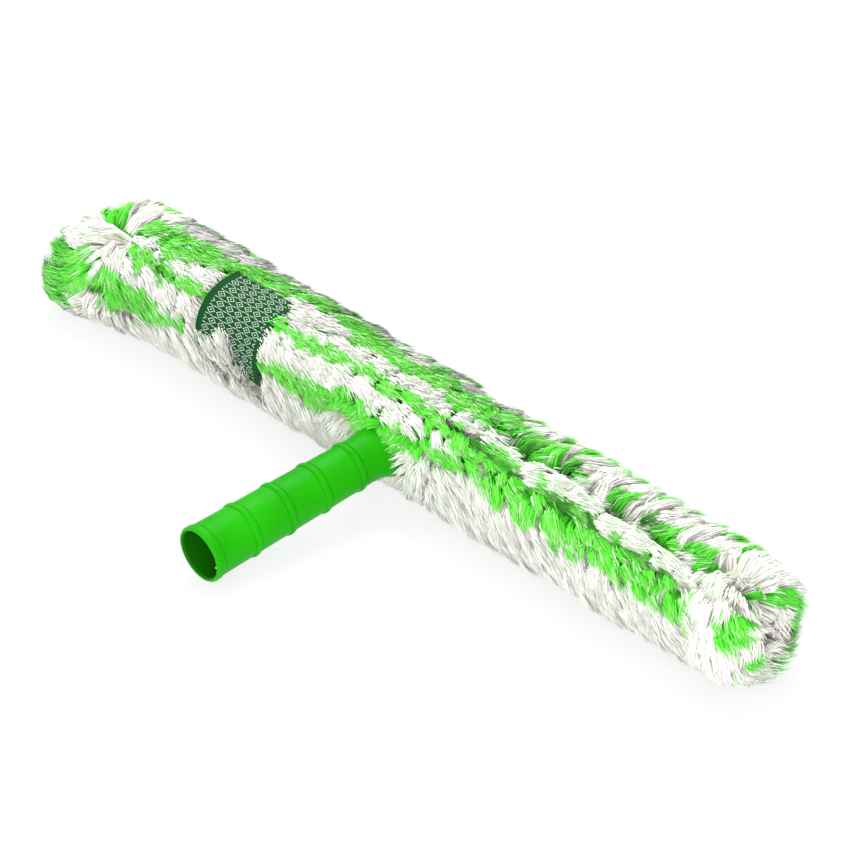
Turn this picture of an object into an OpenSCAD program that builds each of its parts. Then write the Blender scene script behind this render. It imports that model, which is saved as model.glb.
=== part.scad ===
// Window washer: a moulded T-bar with a ribbed handle, in a striped pile sleeve
// X runs along the crossbar, the handle's mouth looks along -Y, and Z is up
// The origin is on the handle's axis, where the straight wall of the pole socket begins

/* [Handle] */
// Distance from the socket's mouth to the middle of the crossbar
grip_length = 150; // [140:1:200]
// Diameter of the handle tube at its mouth
tube_mouth_d = 31.2; // [30.5:0.1:35]
// Diameter of the handle tube where the neck begins
tube_neck_d = 26.6; // [26:0.1:30]
// Diameter over the rolled lip at the mouth
lip_d = 32.5; // [32:0.1:37]
// Width of the rolled lip along the handle
lip_width = 5.8; // [4:0.1:8]
// Number of grip ribs
rib_count = 4; // [0:1:4]
// Distance from the mouth to the first grip rib
rib_first = 27.8; // [18:0.1:30]
// Distance between grip ribs
rib_pitch = 24.5; // [14:0.1:25]
// Height of a grip rib above the tube
rib_height = 0.9; // [0.4:0.05:1.5]
// Width of a grip rib at its foot
rib_width = 4.4; // [3:0.1:6]
// Depth of the fine groove on each side of a rib
groove_depth = 0.25; // [0.1:0.05:0.4]

/* [Pole socket] */
// Diameter of the socket's straight wall
socket_d = 27.1; // [24:0.1:27.4]
// Length of the straight wall
socket_straight = 20; // [12:1:24]
// Depth of the socket, with its tapered part
socket_depth = 112; // [60:1:118]
// Diameter at the bottom of the tapered part
socket_end_d = 22; // [16:0.1:22.5]
// Diameter of the hole on the underside for a pole's spring peg
lock_hole_d = 5; // [3:0.1:7]
// Distance of that hole from the mouth
lock_hole_y = 10; // [7:0.1:13]

/* [Crossbar] */
// Length of the crossbar
bar_length = 510; // [300:5:620]
// Depth of the crossbar, front to back
bar_depth = 23; // [20:0.5:28]
// Height of the crossbar
bar_height = 27; // [26:0.5:32]
// Radius of the crossbar's long edges
bar_corner = 6; // [3:0.5:8]
// Radius of the crossbar's ends, seen from above
bar_end_radius = 8; // [4:0.5:8.5]
// Wall round the water pockets
bar_wall = 2.4; // [1.6:0.1:3.5]
// Thickness of the web that runs down the middle of the crossbar
bar_web = 3; // [2:0.1:5]
// Distance between the cross ribs
pocket_pitch = 22; // [16:0.5:30]
// Thickness of a cross rib
pocket_rib = 2.4; // [1.6:0.1:4]
// Diameter of the water hole in the web of each pocket
web_hole_d = 9; // [4:0.5:12]
// Diameter of the water hole in the side wall of each pocket
wall_hole_d = 5; // [3:0.5:8]
// Radius of the flare from the handle into the crossbar
neck_flare = 28; // [16:0.5:32]

/* [Sleeve] */
// Height of the pile above its ground cloth
pile_height = 16.6; // [8:0.1:20]
// How far the pile is pressed flat where the sleeve lies on a surface
rest_press = 1.2; // [0.6:0.1:2]
// Thickness of the knitted ground cloth
ground_thick = 1.2; // [0.6:0.1:2]
// Gap between the crossbar and the cloth
cloth_gap = 0.4; // [0.2:0.1:1]
// Radius of the sleeve's ends, seen from the front
sleeve_end_radius = 28; // [12:1:30]
// Width of the groove in the pile along a sewn seam
seam_width = 2; // [1.5:0.1:4]
// Diameter of the seam thread
thread_d = 0.8; // [0.5:0.1:1.2]
// Thickness of the edge binding
binding_thick = 0.8; // [0.5:0.1:1.2]

/* [Closure] */
// Height of the sewn seam on the right half, from the middle of the crossbar
seam_z = 4; // [-8:0.5:10]
// Height of the flap's lower edge, from the middle of the crossbar
flap_edge_z = -4.5; // [-8:0.1:-3]
// Place of the flap's fold line behind the middle of the sleeve
flap_fold_y = 6; // [2:0.5:8]
// Clearance between the flap and what it closes on
flap_gap = 0.3; // [0.2:0.05:0.6]
// Height of the underlay's upper edge, from the middle of the crossbar
underlay_top_z = 9; // [6:0.5:10]
// Width of the hook and loop tapes
tape_width = 11; // [8:0.5:11]
// Thickness of each tape
tape_thick = 0.8; // [0.6:0.1:1.2]
// Distance of the tapes' ends from the flap's ends
tape_margin = 4; // [2:0.5:15]

/* [Label] */
// Width of the label along the sleeve
label_width = 53; // [30:1:60]
// Distance of the label's middle from the handle's axis
label_x = -122; // [-160:0.5:-80]
// Place of the label's free edge behind the middle of the sleeve
label_end_y = 2; // [-4:0.5:4]
// Thickness of the label
label_thick = 0.6; // [0.4:0.1:1]
// Clearance between the label and the pile below it
label_gap = 0.5; // [0.3:0.1:1]
// Distance of the label's stitching above the flap's lower edge
label_rise = 2.5; // [1.5:0.1:11]

/* [Hidden] */
$fn = 64;
// Reach of a cut past the face that it opens
past = 1;
// Larger than any section of the part
far = 120;

// Handle
tube_mouth_r = tube_mouth_d / 2;
tube_neck_r = tube_neck_d / 2;
socket_r = socket_d / 2;
lip_r = lip_d / 2;
// The lip's front is a half round that fills the wall at the mouth
lip_round = (lip_r - socket_r) / 2;
lip_middle = lip_width / 2 - lip_round;
bar_front = grip_length - bar_depth / 2;
neck_start = bar_front - neck_flare;
groove_r = groove_depth * 1.4;
function tube_r(s) = tube_mouth_r + (tube_neck_r - tube_mouth_r) * s / neck_start;
// Radius of the circle that a raised rib of this width and height is part of
function crown_r(width, height) = (width * width / 4 + height * height) / (2 * height);

// Crossbar pockets
pocket_depth = bar_depth - 2 * bar_wall;
pocket_count = floor((bar_length - 2 * bar_end_radius) / pocket_pitch);
function pocket_x(i) = (i - (pocket_count - 1) / 2) * pocket_pitch;
neck_half = tube_neck_r + neck_flare;
// The neck is as tall as the crossbar, or as the tube where that is thicker
neck_height = max(bar_height, tube_neck_d);

// Layers of the sleeve, as offsets from the crossbar's faces
ground_in = cloth_gap;
ground_out = cloth_gap + ground_thick;
pile_out = ground_out + pile_height;
neck_clearance = 0.6;
sleeve_half = bar_length / 2 + pile_out;
sleeve_front = bar_depth / 2 + pile_out;
sleeve_top = bar_height / 2 + pile_out;

// Closure stack, as offsets from the crossbar's front face
loop_out = ground_out + tape_thick;
hook_in = loop_out + flap_gap;
hook_out = hook_in + tape_thick;
flap_ground_out = hook_out + ground_thick;
flap_near_x = -(neck_half + 2 * neck_clearance);
flap_far_x = -(sleeve_half - sleeve_end_radius - past);
flap_length = flap_near_x - flap_far_x;
flap_pile_z = flap_edge_z + binding_thick;
// The tapes end below the round upper corner of the cloth
tape_top_z = min(underlay_top_z - past, bar_height / 2 - bar_corner);
tape_middle_z = tape_top_z - tape_width / 2;
tape_length = flap_length - 2 * tape_margin;

// Label
label_x0 = label_x - label_width / 2;
stitch_z = flap_edge_z + label_rise;
label_z0 = stitch_z + thread_d;

// A rectangle with round corners about the origin
module rounded_rect(w, h, r) {
    square([w - 2 * r, h], center = true);
    square([w, h - 2 * r], center = true);
    for (x = [-1, 1], y = [-1, 1])
        translate([x * (w / 2 - r), y * (h / 2 - r)])
            circle(r);
}

// Extrudes a section, drawn as (Y, Z) about the crossbar, from x0 to x1
module along_bar(x0, x1) {
    translate([x0, grip_length, 0])
        rotate([90, 0, 90])
            linear_extrude(x1 - x0)
                children();
}

// Turns a profile, drawn as (radius, distance from the mouth), round the handle's axis
module round_handle() {
    rotate([-90, 0, 0])
        rotate_extrude()
            children();
}

// The crossbar's section, grown by an offset
module bar_section(off, extra_depth = 0) {
    rounded_rect(
        bar_depth + 2 * off + 2 * extra_depth,
        bar_height + 2 * off,
        bar_corner + off
    );
}

// The crossbar's whole outline, grown by an offset
module bar_block(off) {
    half = bar_length / 2 + off;
    intersection() {
        along_bar(-half, half)
            bar_section(off);
        translate([0, grip_length, -far])
            linear_extrude(2 * far)
                rounded_rect(2 * half, bar_depth + 2 * off, bar_end_radius + off);
    }
}

// The neck's trumpet with its top and bottom cut flat
module neck_block(off) {
    intersection() {
        round_handle()
            difference() {
                translate([0, neck_start - past])
                    square([neck_half, neck_flare + past + bar_wall]);
                translate([neck_half, neck_start])
                    circle(neck_flare - off, $fn = 96);
                translate([tube_neck_r + off, neck_start - 2 * past])
                    square([neck_flare, 2 * past]);
            }
        translate([0, bar_front + bar_wall, 0])
            rotate([90, 0, 0])
                linear_extrude(neck_flare + 2 * bar_wall + past)
                    rounded_rect(2 * (neck_half + off), neck_height + 2 * off, bar_corner + off);
    }
}

// A raised rib's profile, with a fine groove at each foot when its sign is -1
module rib_profile(s, width, height) {
    r = crown_r(width, height);
    foot = tube_r(s);
    intersection() {
        translate([foot + height - r, s])
            circle(r, $fn = 96);
        translate([foot - bar_wall / 2, s - width / 2])
            square([height + bar_wall, width]);
    }
}

module grooves(s, width) {
    for (side = [-1, 1])
        translate([tube_r(s + side * width / 2) + groove_r - groove_depth, s + side * width / 2])
            circle(groove_r, $fn = 24);
}

module handle_outline() {
    difference() {
        union() {
            polygon([
                [0, 0], [tube_mouth_r, 0], [tube_neck_r, neck_start],
                [tube_neck_r, bar_front], [0, bar_front]
            ]);
            translate([lip_r - lip_round, 0])
                circle(lip_round);
            rib_profile(lip_middle, lip_width, lip_r - tube_r(lip_middle));
            for (i = [0:1:rib_count - 1])
                rib_profile(rib_first + i * rib_pitch, rib_width, rib_height);
        }
        translate([tube_r(lip_width) + groove_r - groove_depth, lip_middle + lip_width / 2])
            circle(groove_r, $fn = 24);
        for (i = [0:1:rib_count - 1])
            grooves(rib_first + i * rib_pitch, rib_width);
    }
}

module socket() {
    round_handle()
        polygon([
            [0, -far], [socket_r, -far], [socket_r, socket_straight],
            [socket_end_d / 2, socket_depth], [0, socket_depth]
        ]);
}

module water_pockets() {
    for (side = [0, 1])
        mirror([0, 0, side])
            translate([0, grip_length, bar_web / 2])
                linear_extrude(bar_height)
                    for (i = [0:1:pocket_count - 1])
                        translate([pocket_x(i), 0])
                            rounded_rect(pocket_pitch - pocket_rib, pocket_depth, bar_wall);
}

// Holes down through the web, and through the side walls above and below it
module water_holes() {
    hole_z = bar_height / 4 + bar_web / 4;
    for (i = [0:1:pocket_count - 1])
        translate([pocket_x(i), grip_length, 0]) {
            cylinder(h = 2 * bar_web, d = web_hole_d, center = true);
            for (side = [-1, 1])
                translate([0, 0, side * hole_z])
                    rotate([-90, 0, 0]) {
                        cylinder(h = bar_depth, d = wall_hole_d);
                        if (abs(pocket_x(i)) > neck_half + wall_hole_d)
                            translate([0, 0, -bar_depth])
                                cylinder(h = bar_depth, d = wall_hole_d);
                    }
        }
}

module t_bar() {
    color("limegreen")
        difference() {
            union() {
                round_handle()
                    handle_outline();
                neck_block(0);
                bar_block(0);
            }
            socket();
            water_pockets();
            water_holes();
            translate([0, lock_hole_y, -tube_mouth_r - past])
                cylinder(h = tube_mouth_r, d = lock_hole_d);
        }
}

// Everything in front of the fold line and above z0, between the flap's ends
module closure_window(z0, clearance) {
    translate([flap_far_x - clearance, grip_length - far, z0])
        cube([flap_length + 2 * clearance, far + flap_fold_y + clearance / 2, far]);
}

module sleeve_outline() {
    intersection() {
        along_bar(-sleeve_half, sleeve_half)
            difference() {
                bar_section(pile_out);
                translate([-far, rest_press - sleeve_top - far])
                    square([2 * far, far]);
            }
        translate([0, grip_length, -far])
            linear_extrude(2 * far)
                rounded_rect(2 * sleeve_half, 2 * sleeve_front, bar_corner + pile_out);
        translate([0, grip_length, 0])
            rotate([90, 0, 0])
                linear_extrude(2 * far, center = true)
                    rounded_rect(2 * sleeve_half, 2 * sleeve_top, sleeve_end_radius);
    }
}

// Room in the pile for the binding round the neck
module neck_binding_room(off, slack) {
    intersection() {
        neck_block(off);
        translate([-far, bar_front - ground_out - 2 * binding_thick - slack, -far])
            cube([2 * far, 2 * binding_thick + slack, 2 * far]);
    }
}

module ground_cloth() {
    color("honeydew")
        difference() {
            bar_block(ground_out);
            bar_block(ground_in);
            neck_block(neck_clearance);
            closure_window(underlay_top_z, flap_gap);
        }
}

module pile_cloth() {
    groove_front = grip_length - sleeve_front - past;
    color("palegreen")
        difference() {
            sleeve_outline();
            bar_block(ground_out);
            neck_block(neck_clearance);
            neck_binding_room(neck_clearance + 2 * binding_thick + flap_gap / 2, flap_gap / 2);
            closure_window(flap_edge_z - flap_gap, flap_gap);
            translate([neck_half, groove_front, seam_z - seam_width / 2])
                cube([sleeve_half, seam_width + past, seam_width]);
            for (side = [0, 1])
                mirror([side, 0, 0])
                    translate([sleeve_half - seam_width, groove_front, seam_z - seam_width / 2])
                        cube([far, 2 * sleeve_front, seam_width]);
        }
}

module neck_binding() {
    color("darkgreen")
        difference() {
            neck_binding_room(neck_clearance + 2 * binding_thick, 0);
            neck_block(neck_clearance);
            closure_window(flap_edge_z - flap_gap, flap_gap);
        }
}

module underlay_binding() {
    color("darkgreen")
        translate([
            flap_far_x + flap_gap, bar_front - ground_out - flap_gap / 2, underlay_top_z + flap_gap / 2
        ])
            cube([flap_length - 2 * flap_gap, ground_thick + flap_gap / 2, binding_thick]);
}

// A tape in front of the crossbar, from one offset to the next
module tape(off) {
    translate([
        flap_far_x + tape_margin, bar_front - off - tape_thick, tape_middle_z - tape_width / 2
    ])
        cube([tape_length, tape_thick, tape_width]);
}

module loop_tape() {
    color("darkslategray")
        tape(ground_out);
}

module hook_tape() {
    color("darkslategray")
        tape(hook_in);
}

// Dense stitching across the underlay, at the end of the opening next to the neck
module closure_bar_tack() {
    color("darkgreen")
        translate([
            flap_near_x - tape_margin + flap_gap, bar_front - loop_out, tape_middle_z - tape_width / 2
        ])
            cube([tape_margin / 2, tape_thick, tape_width]);
}

module front_seam_thread() {
    color("white")
        translate([neck_half + seam_width, grip_length - sleeve_front + seam_width - thread_d / 2, seam_z])
            rotate([0, 90, 0])
                cylinder(h = sleeve_half - sleeve_end_radius - neck_half - 2 * seam_width, d = thread_d);
}

module end_seam_thread() {
    reach = bar_depth / 2;
    translate([sleeve_half - seam_width + thread_d / 2, grip_length - reach, seam_z])
        rotate([-90, 0, 0])
            cylinder(h = 2 * reach, d = thread_d);
}

module left_end_seam_thread() {
    color("white")
        mirror([1, 0, 0])
            end_seam_thread();
}

module right_end_seam_thread() {
    color("white")
        end_seam_thread();
}

// The part of a section that belongs to the flap
module flap_quarter(z0) {
    intersection() {
        children();
        translate([-far, z0])
            square([far + flap_fold_y - flap_gap / 2, far]);
    }
}

module flap_pile() {
    color("palegreen")
        along_bar(flap_far_x, flap_near_x)
            flap_quarter(flap_pile_z)
                difference() {
                    bar_section(pile_out);
                    bar_section(ground_out, flap_ground_out - ground_out);
                }
}

module flap_ground_cloth() {
    color("honeydew")
        along_bar(flap_far_x, flap_near_x)
            flap_quarter(flap_pile_z)
                difference() {
                    bar_section(ground_out, flap_ground_out - ground_out);
                    bar_section(ground_in, hook_out - ground_in);
                }
}

module flap_binding() {
    color("darkgreen")
        translate([
            flap_far_x, bar_front - flap_ground_out - 3 * binding_thick, flap_edge_z
        ])
            cube([flap_length, ground_thick + 3 * binding_thick, binding_thick]);
}

module label_stitching() {
    color("white")
        translate([label_x0, grip_length - sleeve_front - thread_d / 2, stitch_z])
            rotate([0, 90, 0])
                cylinder(h = label_width, d = thread_d);
}

module label() {
    color("darkgreen")
        along_bar(label_x0, label_x0 + label_width)
            intersection() {
                difference() {
                    bar_section(pile_out + label_gap + label_thick);
                    bar_section(pile_out + label_gap);
                }
                translate([-far, label_z0])
                    square([far + label_end_y, far]);
            }
}

t_bar();
ground_cloth();
pile_cloth();
neck_binding();
underlay_binding();
loop_tape();
closure_bar_tack();
front_seam_thread();
left_end_seam_thread();
right_end_seam_thread();
flap_pile();
flap_ground_cloth();
flap_binding();
hook_tape();
label_stitching();
label();
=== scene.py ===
import math

import bmesh
import bpy
import numpy as np
from bpy.props import FloatProperty, FloatVectorProperty, IntProperty, PointerProperty
from mathutils import Matrix, Vector


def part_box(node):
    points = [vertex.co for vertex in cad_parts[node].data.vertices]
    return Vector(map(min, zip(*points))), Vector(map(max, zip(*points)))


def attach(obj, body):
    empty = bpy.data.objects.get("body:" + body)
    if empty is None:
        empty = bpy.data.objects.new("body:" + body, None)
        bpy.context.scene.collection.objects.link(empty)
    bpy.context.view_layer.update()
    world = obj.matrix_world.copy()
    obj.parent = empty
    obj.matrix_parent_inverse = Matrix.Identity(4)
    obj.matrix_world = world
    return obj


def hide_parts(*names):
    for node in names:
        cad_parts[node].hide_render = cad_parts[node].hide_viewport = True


bl_info = {
    "name": "Window Scrubber Builder",
    "version": (1, 0, 0),
    "blender": (4, 5, 0),
    "location": "View3D > Sidebar > Scrubber",
    "description": "Builds the plush sleeve, label and finishes of a window scrubber round its frame",
    "category": "Object",
}

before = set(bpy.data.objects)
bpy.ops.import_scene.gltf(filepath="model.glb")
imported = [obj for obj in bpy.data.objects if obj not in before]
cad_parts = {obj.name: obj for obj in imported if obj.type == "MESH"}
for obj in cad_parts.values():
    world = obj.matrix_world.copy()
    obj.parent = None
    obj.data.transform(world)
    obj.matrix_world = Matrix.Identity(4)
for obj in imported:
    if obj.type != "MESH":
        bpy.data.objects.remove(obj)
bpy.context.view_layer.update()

MM = 0.001

# The sleeve is a skin round a slim core box: every layer lies one radius away from that core
PILE_LOW, PILE_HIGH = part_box("pile_cloth")
FLAP_LOW, FLAP_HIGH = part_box("flap_pile")
LABEL_LOW, LABEL_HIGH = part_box("label")
SKIN_RADIUS = 24.2 * MM
BED_RADIUS = 16.5 * MM
ARC_RADIUS = 25.5 * MM
AXIS_Y = (PILE_LOW.y + PILE_HIGH.y) / 2
CORE_X = PILE_HIGH.x - SKIN_RADIUS
CORE_Y = (PILE_HIGH.y - PILE_LOW.y) / 2 - SKIN_RADIUS
CORE_Z = PILE_HIGH.z - SKIN_RADIUS
QUARTER = ARC_RADIUS * math.pi / 2
HALF_ROUND = 2 * CORE_Z + 2 * CORE_Y + 2 * QUARTER
TOP_ARC = CORE_Z + QUARTER

# Opening round the handle's neck, about the handle's axis
NECK_HALF_X = 22 * MM
NECK_HALF_Z = 14.5 * MM

# The far left end is drawn in at the back of its top, and sags out, forward and down below
END_DRAWN_IN = 11 * MM
END_SAG_OUT = 9 * MM
END_SAG_FORWARD = 6 * MM
END_SAG_DOWN = 5 * MM

# Borders between the green and white stripes: distance along the bar, then round the sleeve from
# the middle of its front, both in millimetres
GAP_LINE = (
    (-272, -16), (-200, -4), (-150, 1), (-100, 6), (-50, 7), (0, 3), (50, 11), (80, 17),
    (105, 8), (215, 8), (272, 2),
)
FRONT_GREEN_TOP = (
    (-232, 9), (-204, 15), (-173, 11), (-148, 13), (-88, 16), (-54, 21), (-28, 25), (42, 23),
    (75, 28), (131, 30), (202, 28), (272, 20),
)
MIDDLE_GREEN_LOW = ((-230, 26), (-160, 27), (-100, 34), (-48, 36), (0, 35), (36, 30), (75, 26))
MIDDLE_GREEN_TOP = (
    (-230, 35), (-160, 35), (-85, 43), (-21, 44), (8, 44), (57, 42), (93, 38), (131, 36),
    (202, 33), (272, 24),
)
TOP_GREEN_LOW = (
    (-222, 44), (-184, 40), (-163, 49), (-132, 55), (-102, 60), (-56, 58), (15, 52), (42, 52),
    (90, 50), (127, 51), (207, 44), (272, 38),
)
TOP_GREEN_TOP = (
    (-232, 60), (-162, 62), (-110, 72), (-56, 70), (0, 66), (63, 68), (127, 63), (207, 58),
    (272, 52),
)

# Green stripes that keep their place along the bar: borders round the sleeve, in millimetres. The
# edge stripe is the faint one low on the front, which ends right of the neck
BACK_GREENS = ((76, 85), (-106, -96), (-78, -66))
EDGE_GREEN = (-47, -41)

# Green on the right end: centres (y, z) from the sleeve's axis, and radii, in millimetres
END_PATCHES = ((-18, 7, 9), (-12, -9, 5))
END_ARC_CENTRE = (-3, -2)
END_ARC_RADIUS = 22

# Gaps where the pile parts, with shade painted dark into their locks: place along the bar and round
# the sleeve, reach both ways, in millimetres, and depth as a share
DARK_GAPS = (
    (-233, -5, 5, 3, 1.0), (-207, -6, 7, 2.5, 0.9), (-31, 3, 9, 7, 1.0), (19, 3, 3, 7, 0.9),
    (-96, 5, 4, 5, 0.9), (-186, 30, 5, 2.5, 0.6), (-128, 50, 4, 3, 0.5), (176, 47, 8, 5, 1.0),
)

# Lines on the right half where the pile lies low, below and above a strip of short pile
SEAM_BELOW = ((60, 36), (131, 30), (202, 28), (240, 26))
SEAM_ABOVE = ((60, 56), (90, 48), (127, 51), (207, 44), (240, 40))

# Which way the locks lie, as shares along the bar and round the sleeve
LAY_LEFT = (1.0, -0.20)
LAY_LOWER = (0.86, -0.50)
LAY_FRONT = (0.80, -0.60)
LAY_STRIP = (1.0, -0.08)
LAY_CREST = (0.62, 0.72)
LAY_BACK = (0.45, 0.85)
LAY_END_FRONT = (0.10, -0.95)
LAY_END_BACK = (-0.05, 0.95)
LAY_NECK = (-0.62, -0.75)
LAY_UNDER_LABEL = (0.30, 0.95)
SWIRL_TOP = 0.60
SWIRL_BELOW = -0.94

# A lock's three rings: their places along it, and their half widths as shares of a lock's width
RING_STEPS = (0.0, 0.55, 1.0)
RING_WIDTHS = (0.48, 0.52, 0.06)
LEAN_POWER = 1.30
RISE_POWER = 2.0
ROOT_DEPTH = 1.2 * MM
RIDGE_RISE = 0.40
EDGE_DROP = 0.15
STRAY_SHARE = 0.06

# The shading normals of the pile: how much is straight out of the sleeve, and how much the lock's
OUTWARD_SHARE = 0.72
OWN_SHARE = 0.28

# The pieces of pile: stretches along the bar and sides round the sleeve, in metres
STRETCHES = (("left", -1.0, -0.091), ("middle", -0.091, 0.091), ("right", 0.091, 1.0))
SIDES = (("under", -0.070, -0.004), ("front", -0.004, 0.030), ("top", 0.030, 0.078))

# Cloth, sewing and closure tapes
MERGE_DISTANCE = 0.02 * MM
STITCH_PITCH = 3.2 * MM
STITCH_RADIUS = 0.42 * MM
STITCH_SLANT = math.radians(9)
HOOK_PITCH = 2.1 * MM
HOOK_LEAN = math.radians(28)
HOOK_RADII = (0.42 * MM, 0.75 * MM, 0.26 * MM)
HOOK_SINK = 0.35 * MM
TAPE_MARGIN = 1 * MM
WAVE_LENGTH = 0.31

# Lamps: place from the middle of the sleeve, and size, in metres
KEY_PLACE = Vector((1.5, -1.5, 1.0))
KEY_SIZE = 1.4
FILL_PLACE = Vector((-0.8, 0.9, 1.8))
FILL_SIZE = 1.8

# Camera: fitted to the handle's axis, ribs and mouth and to the sleeve's outline
CAMERA_TOWARDS = Vector((0.66504, -0.47894, 0.57301))
CAMERA_RIGHT = Vector((0.64325, 0.75717, -0.11369))
CAMERA_DISTANCE = 4.5996
CAMERA_LENS = 366.75
CAMERA_SHIFT = (0.0080, 0.0019)

# The floor touches the lip of the handle's mouth and the pile below the bed
LIP_RADIUS = 16.25 * MM
PILE_BELOW_BED = 9 * MM
FLOOR_GAP = 1 * MM
FLOOR_SIZE = 12


def colour_prop(label, text, default):
    return FloatVectorProperty(
        name=label, description=text, subtype="COLOR", size=3, min=0, max=1, default=default)


def length_prop(label, text, default):
    return FloatProperty(
        name=label, description=text, subtype="DISTANCE", unit="LENGTH", min=0, default=default)


class PlasticSettings(bpy.types.PropertyGroup):
    shade: colour_prop("Plastic", "Colour of the moulded T-bar", (0.014, 0.385, 0.0015))
    # Painted shade for the unlit depth of the pole socket
    bore_painted_shade: colour_prop("Socket", "Colour deep in the unlit pole socket", (0.006, 0.12, 0.001))
    bore_radius: length_prop("Socket radius", "Radius of the pole socket", 14.5 * MM)
    bore_depth: length_prop("Socket depth", "Depth of the pole socket", 112 * MM)
    roughness: FloatProperty(
        name="Roughness", description="Roughness of the moulded skin", min=0, max=1, default=0.36)


class PileSettings(bpy.types.PropertyGroup):
    # The green root colour is darker than the fibre's own green: painted shade deep in the pile
    root_green_painted_shade: colour_prop("Green root", "Green fibre deep in the pile", (0.006, 0.27, 0.002))
    mid_green: colour_prop("Green", "Green fibre half way up", (0.06, 0.71, 0.014))
    tip_green: colour_prop("Green tip", "Green fibre at its tip", (0.42, 0.95, 0.24))
    # The white root colour is darker and warmer than the fibre's own white: painted shade deep in the
    # pile
    root_white_painted_shade: colour_prop("White root", "White fibre deep in the pile", (0.94, 0.885, 0.80))
    mid_white: colour_prop("White", "White fibre half way up", (0.96, 0.925, 0.865))
    tip_white: colour_prop("White tip", "White fibre at its tip", (0.965, 0.945, 0.91))
    lock_width: length_prop("Lock width", "Width of a lock of fibres", 0.88 * MM)
    lock_height: length_prop("Lock height", "Height of a lock above the bed", 11 * MM)
    lock_lay: length_prop("Lock lay", "How far a lock leans over the bed", 15 * MM)
    tuft_pitch: length_prop("Tuft pitch", "Distance between pointed tufts", 6.5 * MM)
    seen_density: FloatProperty(
        name="Front density", description="Locks a square millimetre, front and top",
        min=0.1, max=2.0, default=1.54)
    back_density: FloatProperty(
        name="Back density", description="Locks a square millimetre, back and underside",
        min=0.1, max=2.0, default=0.80)
    seed: IntProperty(name="Seed", description="Seed of the random draws", min=0, default=7)


class LabelSettings(bpy.types.PropertyGroup):
    ground: colour_prop("Label", "Colour of the woven label", (0.007, 0.075, 0.016))
    yarn: colour_prop("Pattern yarn", "Colour of the woven pattern", (0.50, 0.62, 0.51))
    thickness: length_prop("Thickness", "Thickness of the label", 0.5 * MM)


class StageSettings(bpy.types.PropertyGroup):
    key_power: FloatProperty(
        name="Key", description="Power of the main lamp", subtype="POWER", min=0, default=32)
    fill_power: FloatProperty(
        name="Fill", description="Power of the second lamp", subtype="POWER", min=0, default=36)
    sky: FloatProperty(
        name="Sky", description="Strength of the even light from all round", min=0, default=0.98)


def smooth(value):
    """0 below 0, 1 above 1 and an easy curve between."""
    t = np.clip(value, 0, 1)
    return t * t * (3 - 2 * t)


def line(points, u):
    """A border's place round the sleeve, at distances u along the bar."""
    xs, ss = zip(*points)
    return np.interp(u / MM, xs, ss) * MM


def section(s):
    """Core point and outward normal, as (y, z), at arc coordinate s from the front's middle."""
    side = np.where(s < 0, -1.0, 1.0)
    a = np.abs(s)
    first_turn = np.clip((a - CORE_Z) / ARC_RADIUS, 0, math.pi / 2)
    over_top = np.clip(a - TOP_ARC, 0, 2 * CORE_Y)
    second_turn = np.clip((a - TOP_ARC - 2 * CORE_Y) / ARC_RADIUS, 0, math.pi / 2)
    down_back = np.clip(a - TOP_ARC - 2 * CORE_Y - QUARTER, 0, 2 * CORE_Z)
    angle = first_turn + second_turn
    core_y = over_top - CORE_Y
    core_z = np.minimum(a, CORE_Z) - down_back
    return core_y, side * core_z, -np.cos(angle), side * np.sin(angle)


def end_slack(u, s):
    """Shift that slants the far left end: in at the back of its top, out and down below."""
    near_end = smooth((-u / MM - 185) / 85)
    drawn_in = near_end * smooth((s / MM - 22) / 45)
    sagging = near_end * smooth((20 - s / MM) / 22)
    return (
        END_DRAWN_IN * drawn_in - END_SAG_OUT * sagging, -END_SAG_FORWARD * sagging,
        -END_SAG_DOWN * sagging)


def skin(u, s, radius):
    """Points at that radius from the core, where u runs along the bar and over its ends."""
    core_y, core_z, normal_y, normal_z = section(s)
    tilt = np.clip((np.abs(u) - CORE_X) / ARC_RADIUS, 0, 1.75)
    slack_x, slack_y, slack_z = end_slack(u, s)
    x = np.clip(u, -CORE_X, CORE_X) + np.sign(u) * radius * np.sin(tilt) + slack_x
    y = AXIS_Y + core_y + radius * normal_y * np.cos(tilt) + slack_y
    z = core_z + radius * normal_z * np.cos(tilt) + slack_z
    return np.stack([x, y, z], axis=-1)


def unskin(point):
    """Distance along the bar and round the sleeve of a point near it."""
    y, z = point.y - AXIS_Y, point.z
    flat_y, flat_z = max(-CORE_Y, min(CORE_Y, y)), max(-CORE_Z, min(CORE_Z, z))
    angle = math.atan2(abs(z - flat_z), flat_y - y)
    s = abs(flat_z) + ARC_RADIUS * min(angle, math.pi / 2)
    if y > -CORE_Y:
        s = TOP_ARC + (flat_y + CORE_Y) + ARC_RADIUS * max(angle - math.pi / 2, 0)
        if y > CORE_Y:
            s += CORE_Z - abs(flat_z)
    return point.x, math.copysign(s, z)


def waves(u, s, scale, seed, count=5):
    """Smooth noise about 0, made of sines in random directions."""
    draw = np.random.default_rng(seed)
    total = np.zeros_like(u)
    for _ in range(count):
        heading, phase = draw.uniform(0, 2 * math.pi, 2)
        pitch = scale * draw.uniform(0.6, 1.5)
        total += np.sin((u * math.cos(heading) + s * math.sin(heading)) * 2 * math.pi / pitch + phase)
    return total / count


def band(s, low, high, softness):
    """1 between two borders and 0 beyond them, with soft edges."""
    return np.clip((s - low) / softness + 0.5, 0, 1) * np.clip((high - s) / softness + 0.5, 0, 1)


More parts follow.
